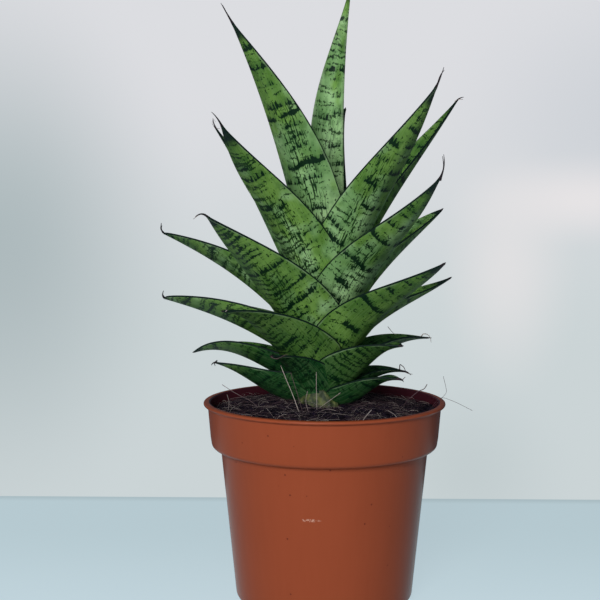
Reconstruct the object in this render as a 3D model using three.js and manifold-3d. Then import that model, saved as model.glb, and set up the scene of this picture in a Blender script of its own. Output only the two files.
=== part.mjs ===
// A potted snake plant: a stem with a spiral rosette of folded, tapering leaves,
// standing in soil in a round plastic nursery pot.
// Millimetres and degrees. +Z is up. The origin is the middle of the pot's underside, on the
// surface that the pot stands on. The plant is seen from -Y, with +X to the right.

import * as THREE from "three";
import { mergeVertices } from "three/addons/utils/BufferGeometryUtils.js";
import Module from "manifold-3d";

const wasm = await Module();
wasm.setup();

// ---------------------------------------------------------------- driving dimensions

const POT_HEIGHT = 98;
const LIP_RADIUS = 60; // a 120 mm nursery pot
const LIP_HEIGHT = 1.6;
const BAND_TOP_RADIUS = 58.1;
const BAND_FOOT_RADIUS = 56.15;
const BAND_HEIGHT = 22.5; // from the rim down to the step
const BAND_FOOT_ROUND = 2.4;
const BODY_TOP_RADIUS = 51.6; // under the step
const BODY_FOOT_RADIUS = 43.9;
const FOOT_ROUND = 3.2;
const POT_WALL = 1.3;
const POT_FLOOR = 1.8;
const DRAIN_HOLES = 8;
const DRAIN_HOLE_RADIUS = 4.2;
const DRAIN_RING_RADIUS = 32;
const RIM_EASE = 0.4; // small slopes in the pot's inside corners
const LEDGE_EASE = 0.8;
const FLOOR_EASE = 1;
const POT_SEGMENTS = 48;

const GAP = 0.3; // clearance between pieces that touch
const SOIL_EDGE = 93; // soil height at the wall
const SOIL_CROWN = 97.2; // soil height at the stem
const SOIL_UNEVEN = 0.7;
const SOIL_FADE = 8; // the unevenness fades out this far from the wall and the stem
const SOIL_SLOPE_POWER = 1.4; // above 1 the soil stays high round the stem and falls near the wall
const SOIL_FOOT_EASE = 2; // height of the slope at the soil's foot
const SOIL_LEDGE_EASE = 1.2;
const SOIL_EASE_IN = [1.2, 0.2]; // how far in each slope starts and ends
const SOIL_RIM_PLAY = 0.4; // the surface ends this much short of the wall, beyond the clearance
const SOIL_SEGMENTS = 32;

const STEM_RADIUS = 8;
const STEM_FOOT = 74; // how deep the stem stands in the soil
const STEM_FOOT_SHARE = 0.6; // the rounded foot's radius, as a share of the stem's
const STEM_FOOT_ROUND = 8;
const STEM_NECK = 6; // above the lowest root the stem starts to narrow
const SLIMMEST_STEM = 1.6;
const STEM_POINT = 2.5;
const STEM_SEGMENTS = 20;

// Leaves leave the stem in a spiral, the youngest first, at the middle and highest.
const FIRST_AZIMUTH = 90;
const DIVERGENCE = 144; // two turns for five leaves, so the leaves stand in five ranks
const LOWEST_ROOT = 97;
const HIGHEST_ROOT = 147;
const ROOT_CROWDING = 1.35; // roots sit closer together down the stem
const ROOT_RADIUS = 10; // keel's distance from the axis at the lowest root
const TIP_ROOT_RADIUS = 4;

const BLADE_THICKNESS = 2.4; // at the keel, next to the stem
const MARGIN_THICKNESS = 0.9;
const AWN_HALF_WIDTH = 0.5;
const LEAF_ROWS = 12;
const AWN_ROWS = 3;
const LEAF_COLUMNS = 4;

// Each leaf, youngest to oldest: how far its tip reaches from the axis and how high it stands, how
// steeply it rises at the root and at the tip, its width laid flat, the length of the dry awn at
// its tip, and how far the awn curls (towards the axis when positive). turn moves a leaf round
// from its rank, roll turns it about its own length, and sweep bends it round as it rises. taper
// is below 1 for a blade that stays wide towards its tip. fold is the arc of its section at
// mid-length and at the tip.
const LEAVES = [
  {
    rank: "back", reach: 14.6, tip: 302, rise: [84, 88], width: 26, awn: 10, turn: 24, roll: 12,
    sweep: -84, fold: [150, 88],
  },
  { rank: "front_left", reach: 69, tip: 272, rise: [85, 48], width: 36, awn: 10, turn: 5.5, sweep: -5 },
  { rank: "right", reach: 70.5, tip: 248, rise: [68, 55], width: 48.5, awn: 5, curl: -50 },
  { rank: "left", reach: 58, tip: 234, rise: [61, 56], width: 38.5, awn: 6, curl: 30, roll: 3 },
  { rank: "front_right", reach: 80.5, tip: 243, rise: [76, 51], width: 38, awn: 9, curl: 15 },
  { rank: "back", reach: 45, tip: 247, rise: [78, 60], width: 30, awn: 4, turn: 1, sweep: -15 },
  { rank: "front_left", reach: 77, tip: 227, rise: [82, 42], width: 44, awn: 10, turn: -7, sweep: 8 },
  { rank: "right", reach: 63, tip: 193, rise: [65, 42], width: 55, awn: 0, taper: 0.7 },
  {
    rank: "left", reach: 88, tip: 181, rise: [47, 24], width: 54, awn: 5, curl: 90, roll: 12,
    taper: 0.72,
  },
  {
    rank: "front_right", reach: 83, tip: 204, rise: [74, 45], width: 40, awn: 11, curl: 62,
    taper: 1.0,
  },
  { rank: "back", reach: 70, tip: 205, rise: [70, 40], width: 44, awn: 8 },
  { rank: "front_left", reach: 85, tip: 188, rise: [50, 34], width: 50, awn: 8, curl: -70 },
  { rank: "right", reach: 68, tip: 158, rise: [58, 30], width: 40, awn: 0 },
  {
    rank: "left", reach: 88, tip: 147, rise: [34, 13], width: 53, awn: 3, curl: 80, roll: 9,
    taper: 0.6,
  },
  { rank: "front_right", reach: 86.5, tip: 168, rise: [54, 30], width: 41, awn: 0 },
  { rank: "back", reach: 75, tip: 158, rise: [56, 20], width: 40, awn: 5 },
  { rank: "front_left", reach: 75.5, tip: 147, rise: [35, 6], width: 48, awn: 0 },
  { rank: "right", reach: 55, tip: 127.5, rise: [38, -2], width: 36, awn: 3 },
  {
    rank: "left", reach: 69, tip: 120, rise: [20, -18], width: 40, awn: 0, turn: 4, roll: 7,
    taper: 0.8,
  },
  { rank: "front_right", reach: 53, tip: 129.5, rise: [38, 8], width: 40, awn: 0, turn: 6, taper: 0.8 },
  { rank: "back", reach: 62, tip: 120, rise: [36, -8], width: 34, awn: 3 },
  { rank: "front_left", reach: 42, tip: 124, rise: [50, 10], width: 34, awn: 0 },
  { rank: "right", reach: 42, tip: 111, rise: [36, -10], width: 26, awn: 4, curl: -40, turn: -4 },
  {
    rank: "left", reach: 54, tip: 116.5, rise: [2, 16], width: 46, awn: 3, curl: -90, turn: 18,
    roll: 9,
  },
  { rank: "front_right", reach: 48, tip: 113, rise: [12, -2], width: 28, awn: 2, curl: -60, turn: 12 },
];

// ---------------------------------------------------------------- materials

const material = (color, roughness) =>
  new THREE.MeshStandardMaterial({ color, roughness, metalness: 0 });

const TERRACOTTA_PLASTIC = material(0x9c4a2b, 0.45);
const SOIL_MATERIAL = material(0x2b1a18, 0.95);
const STEM_MATERIAL = material(0xa8a45a, 0.6);
const LEAF_MATERIAL = material(0x4f7f3c, 0.4);

// ---------------------------------------------------------------- small helpers

const radians = THREE.MathUtils.degToRad;
const mix = THREE.MathUtils.lerp;
const clamp01 = (x) => THREE.MathUtils.clamp(x, 0, 1);

function smooth(x) {
  const t = clamp01(x);
  return t * t * (3 - 2 * t);
}

// A value that runs through start, middle and end as u goes 0, 1/2, 1.
function throughThree(start, middle, end, u) {
  return u < 0.5 ? mix(start, middle, u * 2) : mix(middle, end, u * 2 - 1);
}

function bezier(a, b, c, d, u) {
  const v = 1 - u;
  return v * v * v * a + 3 * v * v * u * b + 3 * v * u * u * c + u * u * u * d;
}

// Points of a rounded corner in a lathe profile, from angle a0 to a1.
function corner(x, z, radius, a0, a1, steps) {
  const points = [];
  for (let i = 0; i <= steps; i += 1) {
    const a = radians(mix(a0, a1, i / steps));
    points.push([x + radius * Math.cos(a), z + radius * Math.sin(a)]);
  }
  return points;
}

// A profile of [radius, height] points turned about the Z axis.
function turned(profile, segments) {
  const points = profile.map(([r, z]) => new THREE.Vector2(r, z));
  return new THREE.LatheGeometry(points, segments).rotateX(Math.PI / 2);
}

function toSolid(geometry) {
  const bare = geometry.clone();
  bare.deleteAttribute("normal");
  bare.deleteAttribute("uv");
  const merged = mergeVertices(bare, 1e-4);
  const index = merged.index.array;
  const vertices = merged.attributes.position.array;
  const kept = [];
  for (let i = 0; i < index.length; i += 3) {
    const [a, b, c] = [index[i], index[i + 1], index[i + 2]];
    if (a !== b && b !== c && c !== a) kept.push(a, b, c);
  }
  return new wasm.Manifold(
    new wasm.Mesh({ numProp: 3, vertProperties: vertices, triVerts: new Uint32Array(kept) }),
  );
}

function toGeometry(solid) {
  const mesh = solid.getMesh();
  const geometry = new THREE.BufferGeometry();
  geometry.setAttribute("position", new THREE.BufferAttribute(mesh.vertProperties, 3));
  geometry.setIndex(new THREE.BufferAttribute(mesh.triVerts, 1));
  geometry.computeVertexNormals();
  return geometry;
}

// The largest of the bodies that a cut leaves.
function largestPiece(solid) {
  const pieces = solid.decompose();
  return pieces.reduce((best, piece) => (piece.volume() > best.volume() ? piece : best));
}

const plant = new THREE.Group();

function add(name, geometry, finish) {
  const mesh = new THREE.Mesh(geometry, finish);
  mesh.name = name;
  plant.add(mesh);
}

// ---------------------------------------------------------------- pot

const STEP_HEIGHT = POT_HEIGHT - BAND_HEIGHT;

// Radius of the pot's outside below the step and in the band.
const bodyRadius = (z) => mix(BODY_FOOT_RADIUS, BODY_TOP_RADIUS, z / STEP_HEIGHT);
const bandRadius = (z) => mix(BAND_FOOT_RADIUS, BAND_TOP_RADIUS, (z - STEP_HEIGHT) / BAND_HEIGHT);

function potProfile() {
  const lipFoot = POT_HEIGHT - LIP_HEIGHT;
  const footCentre = bodyRadius(FOOT_ROUND) - FOOT_ROUND;
  const bandCentre = BAND_FOOT_RADIUS - BAND_FOOT_ROUND;
  const lipRound = LIP_HEIGHT / 2;
  const outside = [
    [0, 0],
    ...corner(footCentre, FOOT_ROUND, FOOT_ROUND, -90, -4, 3),
    [BODY_TOP_RADIUS, STEP_HEIGHT],
    ...corner(bandCentre, STEP_HEIGHT + BAND_FOOT_ROUND, BAND_FOOT_ROUND, -90, 0, 2),
    [bandRadius(lipFoot), lipFoot],
    ...corner(LIP_RADIUS - lipRound, lipFoot + lipRound, lipRound, -60, 90, 3),
  ];
  const ledge = STEP_HEIGHT + POT_WALL;
  const floorRadius = bodyRadius(POT_FLOOR + FLOOR_EASE) - POT_WALL;
  const inside = [
    [bandRadius(lipFoot) - POT_WALL + RIM_EASE, POT_HEIGHT],
    [bandRadius(lipFoot) - POT_WALL, lipFoot - RIM_EASE],
    [BAND_FOOT_RADIUS - POT_WALL, ledge + LEDGE_EASE],
    [BAND_FOOT_RADIUS - POT_WALL - LEDGE_EASE, ledge],
    [BODY_TOP_RADIUS - POT_WALL, ledge],
    [floorRadius, POT_FLOOR + FLOOR_EASE],
    [floorRadius - FLOOR_EASE, POT_FLOOR],
    [0, POT_FLOOR],
  ];
  return [...outside, ...inside];
}

function makePot() {
  let pot = toSolid(turned(potProfile(), POT_SEGMENTS));
  const drillLength = 4 * POT_FLOOR;
  const drillSides = 14;
  const drill = new THREE.CylinderGeometry(
    DRAIN_HOLE_RADIUS,
    DRAIN_HOLE_RADIUS,
    drillLength,
    drillSides,
  );
  drill.rotateX(Math.PI / 2);
  for (let i = 0; i < DRAIN_HOLES; i += 1) {
    const angle = ((i + 0.5) * 2 * Math.PI) / DRAIN_HOLES;
    const hole = drill.clone();
    hole.translate(DRAIN_RING_RADIUS * Math.cos(angle), DRAIN_RING_RADIUS * Math.sin(angle), 0);
    pot = pot.subtract(toSolid(hole));
  }
  return pot;
}

// ---------------------------------------------------------------- stem

// Share of the way up the stem's leafy part.
const leafyShare = (z) => clamp01((z - LOWEST_ROOT) / (HIGHEST_ROOT - LOWEST_ROOT));

// Distance of a leaf's keel from the axis where it leaves the stem.
const rootRadius = (z) => mix(ROOT_RADIUS, TIP_ROOT_RADIUS, leafyShare(z) ** 2);

function stemProfile(grow) {
  const slim = ROOT_RADIUS - STEM_RADIUS;
  const foot = STEM_FOOT - grow;
  const profile = [
    [0, foot],
    [STEM_RADIUS * STEM_FOOT_SHARE + grow, foot],
    [STEM_RADIUS + grow, foot + STEM_FOOT_ROUND],
  ];
  const steps = 5;
  for (let i = 0; i <= steps; i += 1) {
    const z = mix(LOWEST_ROOT + STEM_NECK, HIGHEST_ROOT, i / steps);
    profile.push([Math.max(rootRadius(z) - slim, SLIMMEST_STEM) + grow, z]);
  }
  profile.push([0, HIGHEST_ROOT + STEM_POINT + grow]);
  return profile;
}

// ---------------------------------------------------------------- soil

function soilHeight(r) {
  const share = smooth((r - STEM_RADIUS) / (BAND_FOOT_RADIUS - STEM_RADIUS));
  return mix(SOIL_CROWN, SOIL_EDGE, share ** SOIL_SLOPE_POWER);
}

function soilBumps(x, y) {
  const broad = Math.sin(x * 0.19 + 1) * Math.cos(y * 0.23);
  const fine = Math.sin(x * 0.41 - y * 0.37);
  return SOIL_UNEVEN * (broad + 0.5 * fine);
}

// The filling of the pot, raised by grow where it is used to trim the leaves.
function soilGeometry(grow) {
  const ledge = STEP_HEIGHT + POT_WALL + GAP;
  const bandInside = (z) => bandRadius(z) - POT_WALL - GAP;
  const bodyInside = (z) => bodyRadius(z) - POT_WALL - GAP;
  const hole = STEM_RADIUS + GAP;
  const edge = bandInside(SOIL_EDGE) - SOIL_RIM_PLAY;
  const floor = POT_FLOOR + GAP;
  const [easeStart, easeEnd] = SOIL_EASE_IN;
  const rings = 5;
  const profile = [
    [0, floor],
    [bodyInside(POT_FLOOR) - easeStart, floor],
    [bodyInside(POT_FLOOR + SOIL_FOOT_EASE) - easeEnd, floor + SOIL_FOOT_EASE],
    [bodyInside(ledge), ledge],
    [bandInside(ledge) - easeStart, ledge],
    [bandInside(ledge + SOIL_LEDGE_EASE) - easeEnd, ledge + SOIL_LEDGE_EASE],
  ];
  for (let i = 0; i <= rings; i += 1) {
    const r = mix(edge, hole, i / rings);
    profile.push([r, soilHeight(r) + grow]);
  }
  if (grow === 0) {
    profile.push([hole, STEM_FOOT + STEM_FOOT_ROUND - 0.5]);
    profile.push([STEM_RADIUS * STEM_FOOT_SHARE + GAP, STEM_FOOT - GAP]);
  }
  profile.push([0, grow === 0 ? STEM_FOOT - GAP : SOIL_CROWN + grow]);
  const geometry = turned(profile, SOIL_SEGMENTS);
  const position = geometry.attributes.position;
  for (let i = 0; i < position.count; i += 1) {
    const [x, y, z] = [position.getX(i), position.getY(i), position.getZ(i)];
    const r = Math.hypot(x, y);
    const onTop = z > SOIL_EDGE - 2 && r > hole - 0.01;
    const fade = smooth((edge - r) / SOIL_FADE) * smooth((r - hole) / SOIL_FADE);
    if (onTop) position.setZ(i, z + soilBumps(x, y) * fade);
  }
  return geometry;
}

// ---------------------------------------------------------------- leaves

const KEEL_ARM = 0.38; // Bezier arm of the keel, as a share of its chord
const CLASP_SHARE = 0.14; // part of the length that clasps the stem
const TAPER_SHARE = 0.8; // part of the length that narrows to the tip
const TAPER_POWER = 0.95;
const THINNING = 0.6; // how much of the keel's thickness goes on the way to the tip
const BULGE_POWER = 0.8; // how the thickness falls from the keel to the margins
const BASE_WIDTH = 0.8; // width at the root, as a share of the full width
const ROOT_FOLD = 170;
const MIDDLE_FOLD = 110;
const TIP_FOLD = 60;

const UP = new THREE.Vector3(0, 0, 1);

// Root height of the leaf that is number i from the top.
function rootHeight(i) {
  const down = i / (LEAVES.length - 1);
  return LOWEST_ROOT + (HIGHEST_ROOT - LOWEST_ROOT) * (1 - down) ** ROOT_CROWDING;
}

// The keel, a curve from the root at u = 0 to the end of the green blade at u = 1.
function keelPoint(leaf, u) {
  const z0 = rootHeight(leaf.number);
  const r0 = rootRadius(z0);
  const arm = KEEL_ARM * Math.hypot(leaf.reach - r0, leaf.tip - z0);
  const [a0, a1] = leaf.rise.map(radians);
  const r = bezier(r0, r0 + arm * Math.cos(a0), leaf.reach - arm * Math.cos(a1), leaf.reach, u);
  const z = bezier(z0, z0 + arm * Math.sin(a0), leaf.tip - arm * Math.sin(a1), leaf.tip, u);
  const azimuth = radians(leaf.azimuth + leaf.sweep * u * u);
  return new THREE.Vector3(r * Math.cos(azimuth), r * Math.sin(azimuth), z);
}

function halfWidth(leaf, u) {
  const taper = Math.sin((Math.PI / 2) * clamp01((1 - u) / TAPER_SHARE)) ** leaf.taper;
  const base = mix(BASE_WIDTH, 1, smooth(u / (1 - TAPER_SHARE)));
  return Math.max((leaf.width / 2) * taper * base, AWN_HALF_WIDTH + 0.1);
}

// One section of the blade: its keel point, the sideways and inward directions, half its width,
// the arc of its fold and its thickness.
function bladeSection(leaf, u) {
  const step = 1e-3;
  const ahead = keelPoint(leaf, Math.min(u + step, 1));
  const along = ahead.sub(keelPoint(leaf, Math.max(u - step, 0))).normalize();
  const grip = smooth(u / CLASP_SHARE);
  const axis = UP.clone().lerp(along, grip).normalize();
  const azimuth = radians(leaf.azimuth + leaf.sweep * u * u);
  const side = new THREE.Vector3(-Math.sin(azimuth), Math.cos(azimuth), 0);
  side.addScaledVector(axis, -side.dot(axis)).normalize();
  const inward = side.clone().cross(axis).negate();
  const roll = radians(leaf.roll) * grip;
  side.applyAxisAngle(axis, roll);
  inward.applyAxisAngle(axis, roll);
  return {
    keel: keelPoint(leaf, u),
    side,
    inward,
    along,
    half: halfWidth(leaf, u),
    fold: radians(throughThree(ROOT_FOLD, leaf.fold[0], leaf.fold[1], u)),
    thickness: Math.max(BLADE_THICKNESS * (1 - THINNING * u), MARGIN_THICKNESS),
  };
}

// The sections of the dry awn, a fine curved point that carries on from the blade.
function awnSections(leaf, last) {
  const sections = [];
  const at = last.keel.clone();
  for (let i = 1; i <= AWN_ROWS; i += 1) {
    const middle = radians(leaf.curl * ((i - 0.5) / AWN_ROWS));
    const end = radians(leaf.curl * (i / AWN_ROWS));
    const stride = leaf.awn / AWN_ROWS;
    at.addScaledVector(last.along, stride * Math.cos(middle));
    at.addScaledVector(last.inward, stride * Math.sin(middle));
    const inward = last.inward.clone().multiplyScalar(Math.cos(end));
    inward.addScaledVector(last.along, -Math.sin(end));
    sections.push({ ...last, keel: at.clone(), inward, half: AWN_HALF_WIDTH });
  }
  return sections;
}

// A leaf as one closed body. Its two faces have the same grid and are split into triangles alike.
// grow makes it fatter on every side, to cut clearance for it in its neighbours.
function leafGeometry(leaf, grow) {
  const sections = [];
  for (let i = 0; i <= LEAF_ROWS; i += 1) sections.push(bladeSection(leaf, i / LEAF_ROWS));
  if (leaf.awn > 0) sections.push(...awnSections(leaf, sections[LEAF_ROWS]));

  const faces = [[], []]; // inner face, outer face
  for (const { keel, side, inward, half, fold, thickness } of sections) {
    const radius = half / (fold / 2);
    for (let j = 0; j <= LEAF_COLUMNS; j += 1) {
      const v = (2 * j) / LEAF_COLUMNS - 1;
      const angle = v * (fold / 2) * (1 + grow / half);
      const bulge = (1 - v * v) ** BULGE_POWER;
      const thick = mix(MARGIN_THICKNESS, thickness, bulge) / 2 + grow;
      [1, -1].forEach((towards, face) => {
        const r = radius - towards * thick;
        const point = keel.clone().addScaledVector(inward, radius - r * Math.cos(angle));
        faces[face].push(point.addScaledVector(side, r * Math.sin(angle)));
      });
    }
  }
  return closedBlade(faces, sections.length, LEAF_COLUMNS + 1);
}

// Joins two grids of points, rows by columns, into one closed body.
function closedBlade([inner, outer], rows, columns) {
  const points = [...inner, ...outer];
  const shift = inner.length;
  const index = [];
  const at = (row, column) => row * columns + column;
  const quad = (a, b, c, d) => index.push(a, c, b, a, d, c);
  for (let i = 0; i + 1 < rows; i += 1) {
    for (let j = 0; j + 1 < columns; j += 1) {
      const [a, b, c, d] = [at(i, j), at(i, j + 1), at(i + 1, j + 1), at(i + 1, j)];
      index.push(a, c, b, a, d, c);
      index.push(a + shift, b + shift, c + shift, a + shift, c + shift, d + shift);
    }
    const [e, f] = [at(i, 0), at(i + 1, 0)];
    quad(e, f, f + shift, e + shift);
    const [g, h] = [at(i, columns - 1), at(i + 1, columns - 1)];
    quad(g, g + shift, h + shift, h);
  }
  for (let j = 0; j + 1 < columns; j += 1) {
    const [a, b] = [at(0, j), at(0, j + 1)];
    quad(a, a + shift, b + shift, b);
    const [c, d] = [at(rows - 1, j), at(rows - 1, j + 1)];
    quad(c, d, d + shift, c + shift);
  }
  const geometry = new THREE.BufferGeometry().setFromPoints(points);
  geometry.setIndex(index);
  return geometry;
}

// Each leaf, oldest first, gives way to the older leaves that wrap round it, and to the stem and
// the soil, so that neighbours lie against each other with the clearance between them.
function makeLeaves() {
  const leaves = LEAVES.map((leaf, number) => ({
    curl: 0,
    roll: 0,
    sweep: 0,
    taper: TAPER_POWER,
    fold: [MIDDLE_FOLD, TIP_FOLD],
    ...leaf,
    number,
    azimuth: FIRST_AZIMUTH + number * DIVERGENCE + (leaf.turn ?? 0),
  }));
  const taken = [toSolid(turned(stemProfile(GAP), STEM_SEGMENTS)), toSolid(soilGeometry(GAP))];
  const made = [];
  for (const leaf of [...leaves].reverse()) {
    let solid = toSolid(leafGeometry(leaf, 0));
    for (const other of taken) solid = solid.subtract(other);
    made.unshift({ leaf, solid: largestPiece(solid) });
    taken.push(toSolid(leafGeometry(leaf, GAP)));
  }
  return made;
}

// ---------------------------------------------------------------- assembly

add("pot", toGeometry(makePot()), TERRACOTTA_PLASTIC);
add("soil", toGeometry(toSolid(soilGeometry(0))), SOIL_MATERIAL);
add("stem", toGeometry(toSolid(turned(stemProfile(0), STEM_SEGMENTS))), STEM_MATERIAL);

for (const { leaf, solid } of makeLeaves()) {
  const number = String(leaf.number + 1).padStart(2, "0");
  add(`leaf_${number}_${leaf.rank}`, toGeometry(solid), LEAF_MATERIAL);
}

export default plant;
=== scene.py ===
"""A potted snake plant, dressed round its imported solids.

The leaves, pot, soil and stem repeat the formulas of the solids at a finer pitch, in millimetres,
and their materials are procedural. The plant is seen from -Y, with +X to the right.
"""

import math
import random

import bpy
import numpy as np
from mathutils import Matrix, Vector, noise


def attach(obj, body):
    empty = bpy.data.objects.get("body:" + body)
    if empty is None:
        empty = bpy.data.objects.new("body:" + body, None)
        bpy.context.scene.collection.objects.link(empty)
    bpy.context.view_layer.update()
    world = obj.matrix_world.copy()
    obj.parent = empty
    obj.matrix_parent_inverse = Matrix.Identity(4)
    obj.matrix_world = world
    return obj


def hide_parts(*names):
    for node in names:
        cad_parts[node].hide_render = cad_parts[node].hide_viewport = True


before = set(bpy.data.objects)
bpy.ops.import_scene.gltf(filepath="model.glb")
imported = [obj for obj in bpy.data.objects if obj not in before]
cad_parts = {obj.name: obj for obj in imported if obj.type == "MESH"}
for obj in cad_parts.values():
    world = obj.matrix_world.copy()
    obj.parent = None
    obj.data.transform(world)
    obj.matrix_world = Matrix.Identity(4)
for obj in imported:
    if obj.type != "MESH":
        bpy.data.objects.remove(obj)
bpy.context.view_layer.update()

# ---- dimensions, as in the solids

MM = 0.001

POT_HEIGHT = 98
LIP_RADIUS = 60
LIP_HEIGHT = 1.6
BAND_TOP_RADIUS = 58.1
BAND_FOOT_RADIUS = 56.15
BAND_HEIGHT = 22.5
BAND_FOOT_ROUND = 2.4
BODY_TOP_RADIUS = 51.6
BODY_FOOT_RADIUS = 43.9
FOOT_ROUND = 3.2
POT_WALL = 1.3
POT_FLOOR = 1.8
DRAIN_HOLES = 8
DRAIN_HOLE_RADIUS = 4.2
DRAIN_RING_RADIUS = 32
STEP_HEIGHT = POT_HEIGHT - BAND_HEIGHT

GAP = 0.3
SOIL_EDGE = 93
SOIL_CROWN = 97.2
SOIL_UNEVEN = 0.7

STEM_RADIUS = 8
STEM_FOOT = 74

FIRST_AZIMUTH = 90
DIVERGENCE = 144
LOWEST_ROOT = 97
HIGHEST_ROOT = 147
ROOT_CROWDING = 1.35
ROOT_RADIUS = 10
TIP_ROOT_RADIUS = 4

BLADE_THICKNESS = 2.4
THINNING = 0.6
MARGIN_THICKNESS = 0.9
KEEL_ARM = 0.38
CLASP_SHARE = 0.14
TAPER_SHARE = 0.8
TAPER_POWER = 0.95
BASE_WIDTH = 0.8
ROOT_FOLD = 170
MIDDLE_FOLD = 110
TIP_FOLD = 60

# The leaves' ranks in turn, the columns of their table and what most leaves share.
RANKS = ("back", "front_left", "right", "left", "front_right")
LEAF_COLUMNS = ("reach", "tip", "rise", "width", "awn", "tone")
DARK_TIP = 6
PLAIN_LEAF = dict(curl=0, sweep=0, turn=0, roll=0, taper=TAPER_POWER,
                  fold=(MIDDLE_FOLD, TIP_FOLD), dark=DARK_TIP, dry=1, rimmed=1)

# Each leaf, youngest to oldest, as in the solids: reach and height of the tip, rise at the root and
# at the tip, width laid flat, awn length and tone. The tone is how sage the green is at the root
# and
# at the tip: 0 for yellow-green, 1 for sage, above 1 paler, and below 0 darker with painted shade,
# for leaves low down or behind others, where shade falls. Then what is its own: curl of the awn,
# turn from its rank, roll about its own length, sweep as it rises, power of its taper, and fold at
# mid-length and at the tip. dark is the length of the dark tip, dry of its dead end, and rimmed
# says how plain the dark line at the margin is.
LEAVES = [
    (14.6, 302, (84, 88), 26, 10, (2.1, 0.3),
     dict(sweep=-84, fold=(150, 88), turn=24, roll=12, rimmed=0.3)),
    (69, 272, (85, 48), 36, 10, (2.1, -0.35), dict(turn=5.5, sweep=-5, dark=8)),
    (70.5, 248, (68, 55), 48.5, 5, (0.3, -0.5), dict(curl=-50)),
    (58, 234, (61, 56), 38.5, 6, (0.8, 0.4), dict(curl=30, roll=3)),
    (80.5, 243, (76, 51), 38, 9, (1.6, -0.5), dict(curl=15, dark=8)),
    (45, 247, (78, 60), 30, 0, (-3, -3), dict(sweep=-15, turn=1)),
    (77, 227, (82, 42), 44, 10, (1.0, -0.3), dict(curl=-22, turn=-7, sweep=8, dark=10)),
    (63, 193, (65, 42), 55, 0, (0.7, 0.4), dict(taper=0.7, dark=4, dry=2.5)),
    (88, 181, (47, 24), 54, 5, (0.4, 0.3), dict(curl=90, taper=0.72, dark=4, roll=12)),
    (83, 204, (74, 45), 40, 11, (1.9, -0.3), dict(curl=62, dark=9, taper=1.0)),
    (70, 205, (70, 40), 44, 8, (0.6, 0.3), {}),
    (85, 188, (50, 34), 50, 8, (0.5, -0.25), dict(curl=-70)),
    (68, 158, (58, 30), 40, 0, (0.1, 0.1), dict(dark=9, dry=3)),
    (88, 147, (34, 13), 53, 3, (-0.9, 0.5), dict(curl=80, taper=0.6, dark=4, roll=9)),
    (86.5, 168, (54, 30), 41, 0, (-0.4, -0.1), dict(dark=9, dry=3)),
    (75, 158, (56, 20), 40, 5, (0, 0), {}),
    (75.5, 147, (35, 6), 48, 0, (-0.3, -0.6), dict(dark=4)),
    (55, 127.5, (38, -2), 36, 3, (-1.4, -0.6), dict(dark=5, dry=2)),
    (69, 120, (20, -18), 40, 0, (-1.8, 0.4), dict(turn=4, taper=0.8, dark=4, roll=7)),
    (53, 129.5, (38, 8), 40, 0, (-1.0, -0.4), dict(turn=6, dark=4, dry=2, taper=0.8)),
    (62, 120, (36, -8), 34, 3, (-0.5, -0.3), {}),
    (42, 124, (50, 10), 34, 0, (-1.6, -0.9), dict(dark=3, dry=1.5)),
    (42, 111, (36, -10), 26, 4, (-1.6, -0.9), dict(curl=-40, turn=-4, dry=4)),
    (54, 116.5, (2, 16), 46, 3, (-2.4, -0.3), dict(curl=-90, turn=18, dark=4, roll=9)),
    (48, 113, (12, -2), 28, 2, (-1.4, -0.9), dict(curl=-60, turn=12, dark=5, dry=3)),
]

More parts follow.
